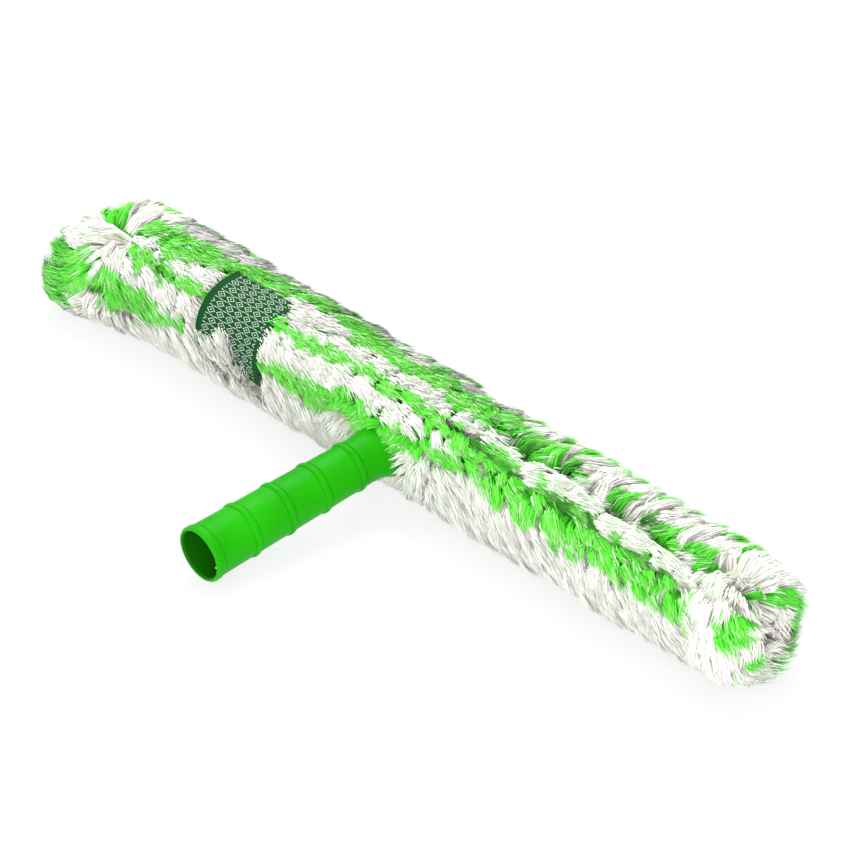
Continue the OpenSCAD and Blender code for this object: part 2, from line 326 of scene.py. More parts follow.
def greenness(u, s):
    """Share of green fibre: 1 in a green stripe, 0 in a white one."""
    s = s + 2.6 * MM * waves(u, s, 34 * MM, 11) + 1.6 * MM * waves(u, s, 13 * MM, 12)
    soft = 2.2 * MM
    green = band(s, line(GAP_LINE, u), line(FRONT_GREEN_TOP, u), soft)
    middle = band(s, line(MIDDLE_GREEN_LOW, u), line(MIDDLE_GREEN_TOP, u), soft)
    green = np.maximum(green, middle * smooth((u / MM + 236) / 8))
    green = np.maximum(green, band(s, line(TOP_GREEN_LOW, u), line(TOP_GREEN_TOP, u), soft))
    for low, high in BACK_GREENS:
        green = np.maximum(green, band(s, low * MM, high * MM, soft))
    low, high = EDGE_GREEN
    green = np.maximum(green, 0.8 * band(s, low * MM, high * MM, soft) * (u < 40 * MM))
    far_left = smooth((-u / MM - 240) / 12) * band(s, -13 * MM, 20 * MM, 6 * MM)
    green = np.maximum(green, far_left)
    green = green + (end_green(u, s) - green) * smooth((u / MM - 247) / 8)
    beside_label = band(u, LABEL_LOW.x - 2 * MM, LABEL_HIGH.x - 8 * MM, 4 * MM)
    return np.clip(green * (1 - beside_label * band(s, -60 * MM, 22 * MM, 2 * MM)), 0, 1)


def end_green(u, s):
    """Share of green fibre on the right end, where the stripes curl round a dimple."""
    point = skin(u, s, ARC_RADIUS) / MM
    y, z = point[..., 1] - AXIS_Y / MM, point[..., 2]
    arc = np.hypot(y - END_ARC_CENTRE[0], z - END_ARC_CENTRE[1]) - END_ARC_RADIUS
    green = smooth((5 - np.abs(arc)) / 2) * (y > END_ARC_CENTRE[0])
    for patch_y, patch_z, radius in END_PATCHES:
        green = np.maximum(green, smooth((radius - np.hypot(y - patch_y, z - patch_z)) / 2))
    return green


def combing(u, s):
    """Which way the locks lie: along the bar, then round the sleeve."""
    right = smooth((u / MM - 45) / 40)
    gap, below, above = line(GAP_LINE, u), line(SEAM_BELOW, u), line(SEAM_ABOVE, u)
    soft = 3 * MM
    lower = smooth((gap - s) / soft + 0.5) * smooth((s + 70 * MM) / soft)
    front = smooth((s - gap) / soft + 0.5) * smooth((below - s) / soft + 0.5) * right
    strip = band(s, below, above, soft) * right
    crest = smooth((s - above) / soft + 0.5) * right
    back = smooth((s / MM - 80) / 8)
    right_end = smooth((u / MM - 232) / 20)
    neck = smooth((48 - np.abs(u + 6 * MM) / MM) / 20) * smooth((30 - np.abs(s) / MM) / 10)
    under_label = band(u, LABEL_LOW.x, LABEL_HIGH.x - 6 * MM, 4 * MM)
    under_label = under_label * band(s, -9 * MM, 12 * MM, 4 * MM)
    end_back = right_end * smooth((s / MM - 50) / 8)
    along, across = (np.full_like(u, share) for share in LAY_LEFT)
    for weight, (lay_along, lay_across) in (
        (lower, LAY_LOWER), (front, LAY_FRONT), (strip, LAY_STRIP), (crest, LAY_CREST),
        (back, LAY_BACK), (right_end, LAY_END_FRONT), (end_back, LAY_END_BACK), (neck, LAY_NECK),
        (under_label, LAY_UNDER_LABEL),
    ):
        along = along + (lay_along - along) * weight
        across = across + (lay_across - across) * weight
    left_end = smooth((-u / MM - 218) / 34)
    swirl = math.pi * left_end * np.where(s > 40 * MM, SWIRL_TOP, SWIRL_BELOW)
    return turned(along, across, swirl)


def painted_crease_shade(u, s):
    """1 where shade is painted into the locks where they part: seams, gaps and the neck's edge."""
    right = smooth((u / MM - 45) / 30)
    deep = 0.75 * right * np.exp(-((s - line(SEAM_BELOW, u) - 1 * MM) / (2.2 * MM)) ** 2)
    broken = smooth(2.5 * waves(u, s, 40 * MM, 51) + 0.4)
    above = line(SEAM_ABOVE, u) + 6 * MM
    deep = np.maximum(deep, 0.9 * right * broken * np.exp(-((s - above) / (4.5 * MM)) ** 2))
    return np.maximum(deep, parted(u, s))


def parted(u, s):
    """1 in the middle of the gaps where the pile parts, 0 away from them."""
    gap = np.zeros_like(u)
    for x, y, wide, high, depth in DARK_GAPS:
        far = ((u - x * MM) / (wide * MM)) ** 2 + ((s - y * MM) / (high * MM)) ** 2
        gap = np.maximum(gap, depth * np.exp(-far))
    return gap


def calmness(u, s):
    """1 where the pile lies smooth and combed, 0 where it stands in pointed tufts."""
    left = smooth((-u / MM + 55) / 60) * smooth((u / MM + 240) / 15)
    strip = band(s, line(SEAM_BELOW, u), line(SEAM_ABOVE, u), 4 * MM) * smooth((u / MM - 45) / 40)
    low = smooth((line(GAP_LINE, u) - s) / (6 * MM))
    hidden = 0.85 * np.maximum(smooth((s / MM - 84) / 10), smooth((-s / MM - 44) / 10))
    return np.clip(np.maximum.reduce([0.88 * left, strip, 0.6 * low, hidden]), 0, 1)


def turned(along, across, angle):
    """A direction on the sleeve's surface, turned by an angle."""
    return (
        along * np.cos(angle) - across * np.sin(angle),
        along * np.sin(angle) + across * np.cos(angle),
    )


def tuft_height(u, s):
    """Height of the pile as a share of the full one: low in the seams, and under the label."""
    right = smooth((u / MM - 50) / 25)
    share = 1 + 0.10 * waves(u, s, 60 * MM, 21) + 0.08 * waves(u, s, 22 * MM, 22)
    for seam, depth in ((SEAM_BELOW, 0.55), (SEAM_ABOVE, 0.45)):
        share = share * (1 - depth * right * np.exp(-((s - line(seam, u)) / (4 * MM)) ** 2))
    peak = 8 * MM * np.exp(-((u / MM + 121) / 5) ** 2)
    covered = 7 * MM + 5 * MM * smooth((-106 - u / MM) / 14) + peak
    label = band(u, LABEL_LOW.x, LABEL_HIGH.x, 3 * MM) * band(s, covered, TOP_ARC + 7 * MM, 4 * MM)
    ends = smooth((np.abs(u) - CORE_X - 3 * MM) / (22 * MM))
    left_fan = 0.80 * smooth((38 - s / MM) / 25)
    share = share * (1 + np.where(u < 0, left_fan, 0.78) * ends)
    over_label = band(u, LABEL_LOW.x, LABEL_HIGH.x, 3 * MM) * band(s, -4 * MM, covered, 4 * MM)
    return share * (1 - 0.38 * label) * (1 + 0.32 * over_label) * (1 - 0.7 * parted(u, s))


def scatter_roots(draw, settings):
    """Roots of the locks: fewer over the ends' curve, on the back and underneath."""
    u_end = CORE_X + QUARTER
    area = 2 * u_end * 2 * HALF_ROUND / MM ** 2
    count = int(area * settings.seen_density)
    u = draw.uniform(-u_end, u_end, count)
    s = draw.uniform(-HALF_ROUND, HALF_ROUND, count)
    tilt = np.clip((np.abs(u) - CORE_X) / ARC_RADIUS, 0, math.pi / 2)
    flats = 2 * (CORE_Y + CORE_Z) / HALF_ROUND
    crowding = np.maximum(np.cos(tilt) * (1 - flats) + flats, 0.5 * (u > CORE_X))
    seen = smooth((s / MM + 45) / 10) * smooth((98 - s / MM) / 10)
    density = settings.back_density + (settings.seen_density - settings.back_density) * seen
    keep = draw.random(count) < crowding * density / settings.seen_density
    at_neck = (np.abs(u) < NECK_HALF_X) & (np.abs(s) < NECK_HALF_Z)
    return u[keep & ~at_neck], s[keep & ~at_neck]


def tuft_homes(draw, u, s, pitch):
    """Middle of the tuft that each lock belongs to, and six numbers that a tuft's locks share."""
    u_end = CORE_X + QUARTER
    wander_u = 3 * MM * waves(u, s, 25 * MM, 31)
    wander_s = 3 * MM * waves(u, s, 25 * MM, 32)
    cell_u = np.floor((u + wander_u + u_end) / pitch).astype(int)
    cell_s = np.floor((s + wander_s + HALF_ROUND) / pitch).astype(int)
    chance = draw.random((cell_u.max() + 1, cell_s.max() + 1, 6))[cell_u, cell_s]
    home_u = (cell_u + chance[:, 0]) * pitch - u_end - wander_u
    home_s = (cell_s + chance[:, 1]) * pitch - HALF_ROUND - wander_s
    return home_u, home_s, chance


def lock_greenness(draw, u, s, tuft_chance):
    """Share of green in each lock: one colour to a tuft, with a few strays of the other."""
    green = greenness(u, s)
    green = np.where(green > 0.15 + 0.7 * tuft_chance, 0.85 + 0.15 * green, 0.15 * green)
    stray = draw.random(len(u))
    green = np.where(stray < STRAY_SHARE, 0.8 - 0.6 * green, green)
    strip = band(s, line(SEAM_BELOW, u), line(SEAM_ABOVE, u), 4 * MM) * (u > 40 * MM)
    return np.where((stray > 0.72) & (strip > 0.5), np.maximum(green, 0.35), green)


def plant_locks(settings):
    """Draws every lock: its root, its tip and its colour, as arrays in (u, s, height)."""
    draw = np.random.default_rng(settings.seed)
    u, s = scatter_roots(draw, settings)
    count = len(u)
    home_u, home_s, chance = tuft_homes(draw, u, s, settings.tuft_pitch)
    along, across = combing(home_u, home_s)
    calm = calmness(home_u, home_s)
    tuft_turn = 0.8 * (chance[:, 2] - 0.5) + 0.4 * waves(home_u, home_s, 48 * MM, 41)
    tuft_turn = tuft_turn * (1 - 0.7 * calm)
    tuft_lean = settings.lock_lay * (0.7 + 0.6 * chance[:, 3])
    tuft_u, tuft_s = turned(along, across, tuft_turn)
    turn = tuft_turn + draw.normal(0, 0.10, count)
    lean = tuft_lean * draw.uniform(0.8, 1.15, count)
    lay_u, lay_s = turned(along, across, turn)
    gather = (0.60 - 0.42 * calm) * draw.uniform(0.7, 1.15, count)
    tip_u = u + lean * lay_u + gather * (home_u - u)
    tip_s = s + lean * lay_s + gather * (home_s - s)
    middle_gap = parted((u + 2 * tip_u) / 3, (s + 2 * tip_s) / 3)
    drawn_back = 1 - 0.85 * np.maximum(parted(tip_u, tip_s), middle_gap)
    tip_u, tip_s = u + drawn_back * (tip_u - u), s + drawn_back * (tip_s - s)
    height = settings.lock_height * tuft_height(tip_u, tip_s)
    height = height * (1 + (0.30 - 0.20 * calm) * (chance[:, 4] - 0.5))
    height = height * draw.uniform(0.86, 1.08, count)
    seen_u = 0.75 * (home_u + 0.75 * tuft_lean * tuft_u) + 0.25 * tip_u
    seen_s = 0.75 * (home_s + 0.75 * tuft_lean * tuft_s) + 0.25 * tip_s
    green = lock_greenness(draw, seen_u, seen_s, chance[:, 5])
    return {
        "root": np.stack([u, s], 1), "tip": np.stack([tip_u, tip_s], 1), "height": height,
        # lit is 1 less the painted shade of the seams, gaps and neck's edge
        "green": green, "chance": draw.random(count), "lit": 1 - painted_crease_shade(seen_u, seen_s),
    }


def lock_rings(locks, width):
    """Corner points of each lock's rings, from its root to its tip: (ring, lock, corner, xyz)."""
    root, tip, height = locks["root"], locks["tip"], locks["height"]
    centres = []
    for step in RING_STEPS:
        place = root + (tip - root) * step ** LEAN_POWER
        rise = height * (1 - (1 - step) ** RISE_POWER)
        centres.append(skin(*place.T, BED_RADIUS - ROOT_DEPTH + rise))
    centres = np.array(centres)
    outward = skin(*root.T, 2 * ARC_RADIUS) - skin(*root.T, ARC_RADIUS)
    outward /= np.linalg.norm(outward, axis=1, keepdims=True)
    rings = []
    for i in range(len(RING_STEPS)):
        heading = centres[min(i + 1, len(centres) - 1)] - centres[max(i - 1, 0)]
        heading /= np.linalg.norm(heading, axis=1, keepdims=True) + 1e-12
        across = np.cross(heading, outward)
        across /= np.linalg.norm(across, axis=1, keepdims=True) + 1e-12
        up = np.cross(across, heading)
        reach = RING_WIDTHS[i] * width * (0.75 + 0.5 * locks["chance"])[:, None]
        rings.append(np.stack([
            centres[i] + across * reach - up * reach * EDGE_DROP,
            centres[i] + up * reach * RIDGE_RISE,
            centres[i] - across * reach - up * reach * EDGE_DROP,
        ], axis=1))
    return np.array(rings)


def mesh_object(bm, name, material, smooth_faces=True):
    """Turns a finished bmesh into an object of the scene."""
    mesh = bpy.data.meshes.new(name)
    bm.to_mesh(mesh)
    bm.free()
    mesh.polygons.foreach_set("use_smooth", [smooth_faces] * len(mesh.polygons))
    mesh.materials.append(material)
    obj = bpy.data.objects.new(name, mesh)
    bpy.context.scene.collection.objects.link(obj)
    return obj


def tuft_object(name, locks, width, material):
    """One piece of pile: each lock is a small triangle, extruded ring by ring to a curved point."""
    rings = lock_rings(locks, width).tolist()
    green, chance, lit = (locks[key].tolist() for key in ("green", "chance", "lit"))
    bm = bmesh.new()
    shade = bm.verts.layers.float_color.new("lock")
    number = bm.faces.layers.int.new("number")
    roots, caps = [], []
    for index, corners in enumerate(rings[0]):
        verts = [bm.verts.new(corner) for corner in corners]
        for vert in verts:
            # The fourth channel holds lit: how little painted shade of seams and gaps the lock gets
            vert[shade] = (green[index], 0.0, chance[index], lit[index])
        roots.append(verts)
        caps.append(bm.faces.new(verts))
        caps[-1][number] = index
    for step, ring in zip(RING_STEPS[1:], rings[1:]):
        caps = bmesh.ops.extrude_discrete_faces(bm, faces=caps)["faces"]
        for cap in caps:
            index = cap[number]
            for vert, corner in zip(cap.verts, ring[index]):
                vert.co = corner
                vert[shade] = (green[index], step, chance[index], lit[index])
    tip_edges = list({edge for cap in caps for edge in cap.edges})
    bmesh.ops.collapse(bm, edges=tip_edges)
    for verts in roots:
        bm.faces.new(reversed(verts))
    bm.faces.layers.int.remove(number)
    bmesh.ops.recalc_face_normals(bm, faces=bm.faces)
    obj = mesh_object(bm, name, material)
    soften_normals(obj.data)
    return obj


def soften_normals(mesh):
    """Turns the shading normals mostly outwards, as light spreads through fine fibre."""
    places = np.zeros(3 * len(mesh.vertices))
    mesh.vertices.foreach_get("co", places)
    own = np.zeros_like(places)
    mesh.vertex_normals.foreach_get("vector", own)
    places, own = places.reshape(-1, 3), own.reshape(-1, 3)
    places[:, 1] -= AXIS_Y
    reach = np.array([CORE_X, CORE_Y, CORE_Z])
    outward = places - np.clip(places, -reach, reach)
    outward /= np.linalg.norm(outward, axis=1, keepdims=True) + 1e-9
    normals = OUTWARD_SHARE * outward + OWN_SHARE * own
    normals /= np.linalg.norm(normals, axis=1, keepdims=True) + 1e-9
    mesh.normals_split_custom_set_from_vertices(normals)


class Nodes:
    """A short way to build one material's node tree."""

    def __init__(self, name):
        self.material = bpy.data.materials.new(name)
        self.material.use_nodes = True
        self.tree = self.material.node_tree
        self.shader = self.tree.nodes["Principled BSDF"]

    def add(self, kind, inputs=(), **settings):
        node = self.tree.nodes.new("ShaderNode" + kind)
        for key, value in settings.items():
            setattr(node, key, value)
        for key, value in dict(inputs).items():
            self.feed(node.inputs[key], value)
        return node

    def feed(self, socket, value):
        if isinstance(value, bpy.types.NodeSocket):
            self.tree.links.new(value, socket)
        else:
            socket.default_value = value

    def math(self, operation, first, second=0.0):
        return self.add("Math", {0: first, 1: second}, operation=operation).outputs[0]

    def ramp(self, factor, stops):
        node = self.add("ValToRGB", {"Fac": factor})
        elements = node.color_ramp.elements
        while len(elements) < len(stops):
            elements.new(0.5)
        for element, (place, shade) in zip(elements, stops):
            element.position = place
            element.color = (*shade, 1.0)
        return node.outputs["Color"]

    def mix(self, factor, first, second, blend="MIX"):
        node = self.add("Mix", data_type="RGBA", blend_type=blend)
        for number, value in ((0, factor), (6, first), (7, second)):
            self.feed(node.inputs[number], value)
        return node.outputs[2]

    def bump(self, height, strength, distance):
        return self.add(
            "Bump", {"Height": height, "Strength": strength, "Distance": distance}).outputs["Normal"]

    def object_point(self):
        return self.add("TexCoord").outputs["Object"]

    def finish(self, **inputs):
        for key, value in inputs.items():
            self.feed(self.shader.inputs[key.replace("_", " ")], value)
        return self.material


def fibre_material(settings):
    """Soft synthetic fibre: darker at the root, where shade deep in the pile is painted in, paler at
    the tip, each lock a little different.
    """
    n = Nodes("pile_fibre")
    lock = n.add("Attribute", attribute_name="lock").outputs
    parts = n.add("SeparateColor", {"Color": lock["Color"]})
    green, along, chance = parts.outputs[0], parts.outputs[1], parts.outputs[2]
    green_shade = n.ramp(along, (
        (0.0, settings.root_green_painted_shade), (0.45, settings.mid_green), (0.80, settings.mid_green),
        (1.0, settings.tip_green)))
    white_shade = n.ramp(along, (
        (0.0, settings.root_white_painted_shade), (0.40, settings.mid_white), (1.0, settings.tip_white)))
    pale = n.ramp(chance, ((0.0, (0.0,) * 3), (0.55, (0.10,) * 3), (1.0, (0.55,) * 3)))
    green_shade = n.mix(n.math("MULTIPLY", pale, along), green_shade, (*settings.tip_green, 1.0))
    tone = n.ramp(chance, ((0.0, (0.93,) * 3), (1.0, (1.0,) * 3)))
    white_shade = n.mix(1.0, white_shade, tone, "MULTIPLY")
    shade = n.mix(green, white_shade, green_shade)
    # Painted shade: where the locks part, their colour is mixed toward these dark shades by the lit
    # channel
    white_crease_painted_shade, green_crease_painted_shade = (0.26, 0.30, 0.18, 1.0), (0.004, 0.06, 0.002, 1.0)
    shade = n.mix(lock["Alpha"], n.mix(green, white_crease_painted_shade, green_crease_painted_shade), shade)
    return n.finish(
        Base_Color=shade, Roughness=0.85, Specular_IOR_Level=0.15, Sheen_Weight=0.1)


def plastic_material(settings):
    """Moulded plastic with a faint orange-peel skin and mottled colour, and painted shade that
    darkens it deep in the socket.
    """
    n = Nodes("moulded_plastic")
    point = n.object_point()
    skin_noise = n.add("TexNoise", {"Vector": point, "Scale": 900.0, "Detail": 3.0}).outputs["Fac"]
    cloud = n.add("TexNoise", {"Vector": point, "Scale": 38.0, "Detail": 4.0}).outputs["Fac"]
    deep = tuple(channel * 0.80 for channel in settings.shade)
    shade = n.ramp(cloud, ((0.3, deep), (0.7, tuple(settings.shade))))
    parts = n.add("SeparateXYZ", {"Vector": point}).outputs
    flat = n.add("CombineXYZ", {0: parts[0], 2: parts[2]}).outputs[0]
    from_axis = n.add("VectorMath", {0: flat}, operation="LENGTH").outputs["Value"]
    # Painted shade: inside the pole socket the colour turns dark, standing in for the shadow there
    taper = 0.022
    narrowing = n.math("MULTIPLY", parts[1], taper)
    inner = n.math("LESS_THAN", n.math("ADD", from_axis, narrowing), settings.bore_radius)
    painted_bore_shade_mask = n.math("MULTIPLY", inner, n.math("LESS_THAN", parts[1], settings.bore_depth))
    shade = n.mix(painted_bore_shade_mask, shade, (*settings.bore_painted_shade, 1.0))
    rough = n.math("ADD", n.math("MULTIPLY", cloud, 0.14), settings.roughness - 0.07)
    return n.finish(
        Base_Color=shade, Roughness=rough, Normal=n.bump(skin_noise, 0.25, 0.0002),
        Specular_IOR_Level=0.06)


def woven_material(name, shade, pitch, fuzz=0.6):
    """Narrow woven tape: crossing threads on object coordinates."""
    n = Nodes(name)
    point = n.object_point()
    threads = {"Vector": point, "Scale": WAVE_LENGTH / pitch, "Distortion": 0.6}
    warp = n.add("TexWave", threads, bands_direction="X").outputs["Fac"]
    weft = n.add("TexWave", threads, bands_direction="DIAGONAL").outputs["Fac"]
    weave = n.math("MULTIPLY", n.math("ADD", warp, weft), 0.5)
    lint = n.add("TexNoise", {"Vector": point, "Scale": 420.0, "Detail": 5.0}).outputs["Fac"]
    height = n.math("ADD", weave, n.math("MULTIPLY", lint, fuzz))
    dark = tuple(channel * 0.55 for channel in shade)
    tone = n.ramp(height, ((0.25, dark), (1.0, shade)))
    return n.finish(
        Base_Color=tone, Roughness=0.88, Normal=n.bump(height, 0.7, 0.0004), Sheen_Weight=0.2,
        Specular_IOR_Level=0.2)


def thread_material():
    """Twisted sewing thread: slanted plies across its length."""
    n = Nodes("sewing_thread")
    plies = {"Vector": n.object_point(), "Scale": 900.0, "Distortion": 1.0}
    twist = n.add("TexWave", plies, bands_direction="DIAGONAL").outputs["Fac"]
    tone = n.ramp(twist, ((0.2, (0.06, 0.30, 0.05)), (0.9, (0.16, 0.62, 0.12))))
    return n.finish(Base_Color=tone, Roughness=0.6, Normal=n.bump(twist, 0.5, 0.0002))


def label_material(settings):
    """Woven label: rows of plain lozenges and bars in pale yarn on a dark green ground."""
    n = Nodes("woven_label")
    uv = n.add("SeparateXYZ", {"Vector": n.add("UVMap", uv_map="weave").outputs["UV"]})
    across, along = uv.outputs[0], uv.outputs[1]
    rows, columns = 11.0, 7.0
    lozenge, outline_width, heart_size = 0.33, 0.045, 0.09
    bar_from, bar_half, margin = 0.455, 0.36, 0.09
    picks, ends = 150, 120
    row = n.math("MULTIPLY", along, rows)
    odd = n.math("MODULO", n.math("FLOOR", row), 2.0)
    column = n.math("ADD", n.math("MULTIPLY", across, columns), n.math("MULTIPLY", odd, 0.5))
    cell_x = n.math("ABSOLUTE", n.math("SUBTRACT", n.math("FRACT", column), 0.5))
    cell_y = n.math("ABSOLUTE", n.math("SUBTRACT", n.math("FRACT", row), 0.5))
    diamond = n.math("ADD", n.math("MULTIPLY", cell_x, 0.85), cell_y)
    outline = n.math("COMPARE", diamond, lozenge)
    outline.node.inputs[2].default_value = outline_width
    heart = n.math("LESS_THAN", diamond, heart_size)
    bar = n.math(
        "MULTIPLY", n.math("GREATER_THAN", cell_y, bar_from), n.math("LESS_THAN", cell_x, bar_half))
    marks = n.math("MAXIMUM", n.math("MAXIMUM", outline, heart), bar)
    inside = n.math(
        "MULTIPLY", n.math("GREATER_THAN", across, margin),
        n.math("LESS_THAN", across, 1 - margin))
    marks = n.math("MULTIPLY", marks, inside)
    weft = n.math("SINE", n.math("MULTIPLY", along, 2 * math.pi * picks))
    warp = n.math("SINE", n.math("MULTIPLY", across, 2 * math.pi * ends))
    weave = n.math("ADD", n.math("MULTIPLY", n.math("MULTIPLY", weft, warp), 0.25), 0.5)
    ground = n.mix(weave, (*(c * 0.7 for c in settings.ground), 1.0), (*settings.ground, 1.0))
    shade = n.mix(n.math("MULTIPLY", marks, 0.9), ground, (*settings.yarn, 1.0))
    height = n.math("ADD", n.math("MULTIPLY", marks, 0.8), weave)
    return n.finish(
        Base_Color=shade, Roughness=0.75, Normal=n.bump(height, 0.5, 0.0002),
        Specular_IOR_Level=0.1)


def floor_material():
    """Near-white floor: white to the camera, with the object's soft shadow kept."""
    n = Nodes("studio_floor")
    path = n.add("LightPath")
    seen = n.math("MAXIMUM", path.outputs["Is Camera Ray"], path.outputs["Is Glossy Ray"])
    diffuse = n.add("BsdfDiffuse", {"Color": (0.86, 0.86, 0.86, 1.0)})
    glow = n.add("Emission", {"Color": (1.0, 1.0, 1.0, 1.0), "Strength": 1.0})
    share = n.math("MULTIPLY", seen, 0.80)
    both = n.add("MixShader", {0: share, 1: diffuse.outputs[0], 2: glow.outputs[0]})
    n.tree.links.new(both.outputs[0], n.tree.nodes["Material Output"].inputs["Surface"])
    return n.material


def dress(node, material):
    """Gives a CAD node its finished material and leaves its mesh as it is."""
    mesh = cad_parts[node].data
    mesh.materials.clear()
    mesh.materials.append(material)


def merged_copy(node):
    """A CAD node's mesh to work on, with its loose triangles joined."""
    bm = bmesh.new()
    bm.from_mesh(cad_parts[node].data)
    bmesh.ops.remove_doubles(bm, verts=bm.verts, dist=MERGE_DISTANCE)
    return bm


def cut(bm, place, normal):
    """Cuts every face that crosses a plane, and keeps both sides."""
    bmesh.ops.bisect_plane(
        bm, geom=bm.verts[:] + bm.edges[:] + bm.faces[:], plane_co=place, plane_no=normal)


def axis_vector(axis):
    return Vector([1.0 if i == axis else 0.0 for i in range(3)])


def bed_object(node, name, material):
    """The sheared base of the pile: a merged copy of the node, drawn in below the locks."""
    bm = merged_copy(node)
    length = PILE_HIGH.x - PILE_LOW.x
    slices, spokes = 40, 12
    for i in range(1, slices):
        cut(bm, (PILE_LOW.x + length * i / slices, 0, 0), (1, 0, 0))
    axis = Vector((0, AXIS_Y, 0))
    for i in range(spokes):
        slope = math.pi * i / spokes
        cut(bm, axis, (0, math.sin(slope), math.cos(slope)))
    shade = bm.verts.layers.float_color.new("lock")
    low, high = Vector((-CORE_X, -CORE_Y, -CORE_Z)), Vector((CORE_X, CORE_Y, CORE_Z))
    u, s = np.array([unskin(vert.co) for vert in bm.verts]).T
    shifts = np.stack(end_slack(u, s), axis=1).tolist()
    for vert, green, shift in zip(bm.verts, greenness(u, s).tolist(), shifts):
        point = vert.co - axis
        core = Vector(max(a, min(b, c)) for a, c, b in zip(low, point, high))
        away = point - core
        if away.length > BED_RADIUS:
            vert.co = axis + core + away.normalized() * BED_RADIUS + Vector(shift)
        # The bed takes the colours near the root, so it carries their painted shade
        vert[shade] = (green, 0.12, 0.3, 1.0)
    bmesh.ops.triangulate(bm, faces=bm.faces)
    return mesh_object(bm, name, material)


def soft_copy(node, name, material, pucker):
    """A soft CAD node as cloth: a merged copy, cut finely and puckered along its threads."""
    low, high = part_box(node)
    bm = merged_copy(node)
    for axis, pitch in ((0, 5 * MM), (1, 4 * MM), (2, 4 * MM)):
        normal = axis_vector(axis)
        for place in np.arange(low[axis] + pitch, high[axis], pitch).tolist():
            cut(bm, normal * place, normal)
    bm.normal_update()
    places = np.array([vert.co[:] for vert in bm.verts])
    amounts = pucker * (waves(places[:, 0], places[:, 2], 14 * MM, 61) - 1.0)
    for vert, amount in zip(bm.verts, amounts.tolist()):
        vert.co += vert.normal * amount * 0.5
    obj = mesh_object(bm, name, material, smooth_faces=False)
    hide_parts(node)
    return obj


def stitch_row(node, name, material):
    """Sewing as a row of single stitches, each a slanted oval of thread, along a CAD node."""
    low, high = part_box(node)
    middle, size = (low + high) / 2, high - low
    axis = max(range(3), key=lambda i: size[i])
    along = axis_vector(axis)
    count = max(3, int(size[axis] / STITCH_PITCH))
    radii = [0.55 * STITCH_PITCH if i == axis else STITCH_RADIUS for i in range(3)]
    shape = Matrix.Diagonal(radii).to_4x4()
    bm = bmesh.new()
    for i in range(count):
        place = middle + along * ((i + 0.5) / count - 0.5) * size[axis]
        slant = Matrix.Rotation(STITCH_SLANT if i % 2 else -STITCH_SLANT, 4, "Y")
        bmesh.ops.create_uvsphere(
            bm, u_segments=6, v_segments=4, radius=1,
            matrix=Matrix.Translation(place) @ slant @ shape)
    return mesh_object(bm, name, material)


def hook_field(node, name, material, side):
    """The hooks or loops on a closure tape: rows of small leaning ovals on its working face."""
    low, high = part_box(node)
    face = high.y if side > 0 else low.y
    bm = bmesh.new()
    lean = Matrix.Rotation(HOOK_LEAN * side, 4, "X")
    shape = Matrix.Diagonal(HOOK_RADII).to_4x4()
    width, height = high.x - low.x, high.z - low.z - 2 * TAPE_MARGIN
    columns, rows = int(width / HOOK_PITCH), int(height / HOOK_PITCH)
    for i in range(columns):
        for j in range(rows):
            x = low.x + width * (i + 0.5) / columns
            z = low.z + TAPE_MARGIN + height * (j + 0.25 + 0.5 * (i % 2)) / rows
            place = Matrix.Translation((x, face - side * HOOK_SINK, z))
            bmesh.ops.create_uvsphere(
                bm, u_segments=5, v_segments=3, radius=1, matrix=place @ lean @ shape)
    return mesh_object(bm, name, material)


